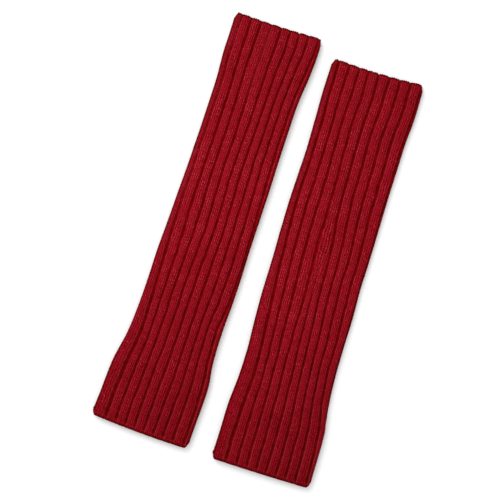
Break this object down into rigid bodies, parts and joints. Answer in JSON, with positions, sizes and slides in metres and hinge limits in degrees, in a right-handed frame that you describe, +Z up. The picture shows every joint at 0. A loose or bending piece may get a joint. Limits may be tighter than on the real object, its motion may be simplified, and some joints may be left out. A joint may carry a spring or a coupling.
{
  "type": "pair of ribbed leg warmers laid flat",
  "caption": "Pair of seamless wide-rib knit leg warmers laid flat side by side, each an open-ended flattened tube with raised ribs and softly flared cuffs.",
  "frame": {"origin": "on the surface the pair lies on, under the middle of the pair's box", "axes": "+Y along the legs towards the upper cuffs, +X to the right across the pair, +Z up away from the surface"},
  "size_m": [0.2272, 0.4324, 0.0074],
  "materials": {
    "rib_knit": "matt brushed yarn knitted in wide rib, deep red"
  },
  "bodies": {
    "root": {"left_leg_warmer": "rib_knit", "right_leg_warmer": "rib_knit"}
  },
  "joints": []
}
